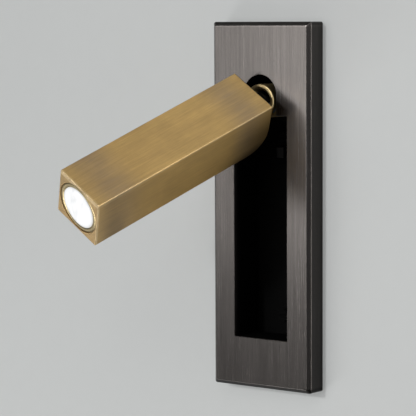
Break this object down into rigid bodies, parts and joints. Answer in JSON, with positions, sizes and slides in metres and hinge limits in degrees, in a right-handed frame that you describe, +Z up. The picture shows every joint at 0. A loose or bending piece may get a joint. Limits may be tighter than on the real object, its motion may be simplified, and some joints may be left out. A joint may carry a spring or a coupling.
{
  "type": "recessed wall reading lamp",
  "caption": "Recessed bedside reading lamp: a square brass head on a swivel and tilt hinge, set in an upright bronze wall plate with a pocket that takes the folded head.",
  "frame": {"origin": "middle of the plate's back, on the wall's face", "axes": "+X to the right seen from the room, +Y into the wall, +Z up along the plate"},
  "size_m": [0.0886, 0.1708, 0.2],
  "materials": {
    "bronze_plate": "brushed dark bronze",
    "black_liner": "matt black",
    "antique_brass": "brushed, antiqued",
    "dark_brass": "satin, darkened",
    "bright_brass": "turned",
    "zinc_steel": "zinc plated",
    "blackened_steel": "blackened",
    "aluminium": "as extruded",
    "white_board": "white solder mask",
    "led_yellow": "phosphor",
    "reflector_white": "gloss",
    "frosted_lens": "frosted, lit",
    "black_rubber": "matt",
    "black_plastic": "moulded",
    "white_plastic": "moulded"
  },
  "bodies": {
    "wall_unit": {"face_plate": "bronze_plate", "plate_studs": "zinc_steel", "plate_nuts": "zinc_steel", "pocket_liner": "black_liner", "back_box": "zinc_steel", "support_posts": "zinc_steel", "fixing_screws": "blackened_steel", "bush_plate": "zinc_steel", "stop_peg": "zinc_steel", "swivel_bush": "dark_brass", "bush_nut": "bright_brass", "switch_body": "black_plastic", "driver_case": "white_plastic", "driver_screws": "zinc_steel", "terminal_block": "white_plastic", "terminal_screws": "zinc_steel", "earth_stud": "bright_brass", "earth_nut": "bright_brass", "cable_grommet": "black_rubber"},
    "swivel": {"swivel_tube": "antique_brass", "hinge_pin": "zinc_steel", "friction_washers": "black_plastic", "stop_disc": "zinc_steel", "spring_washer": "zinc_steel", "lock_nut": "bright_brass"},
    "head": {"hinge_tongue": "blackened_steel", "tongue_nut": "zinc_steel", "head_casing": "antique_brass", "bezel_ring": "dark_brass", "lens": "frosted_lens", "seal_ring": "black_rubber", "reflector": "reflector_white", "led_chip": "led_yellow", "led_board": "white_board", "board_screws": "zinc_steel", "heat_sink": "aluminium"},
    "switch_button": {"switch_plunger": "black_plastic"}
  },
  "joints": [
    {"name": "head_swivel", "type": "hinge", "parent": "wall_unit", "child": "swivel", "pos_m": [0, -0.00884, 0.0573], "axis": [0, 1, 0], "range_deg": [-124.8, 55.2]},
    {"name": "head_tilt", "type": "hinge", "parent": "swivel", "child": "head", "pos_m": [0, -0.00884, 0.0573], "axis": [-0.8211, 0, 0.5707], "range_deg": [-2.5, 28.7]},
    {"name": "switch_press", "type": "slide", "parent": "wall_unit", "child": "switch_button", "axis": [0, 1, 0], "range_m": [0, 0.003], "stiffness_N_per_m": 300, "springref_m": -0.001}
  ]
}
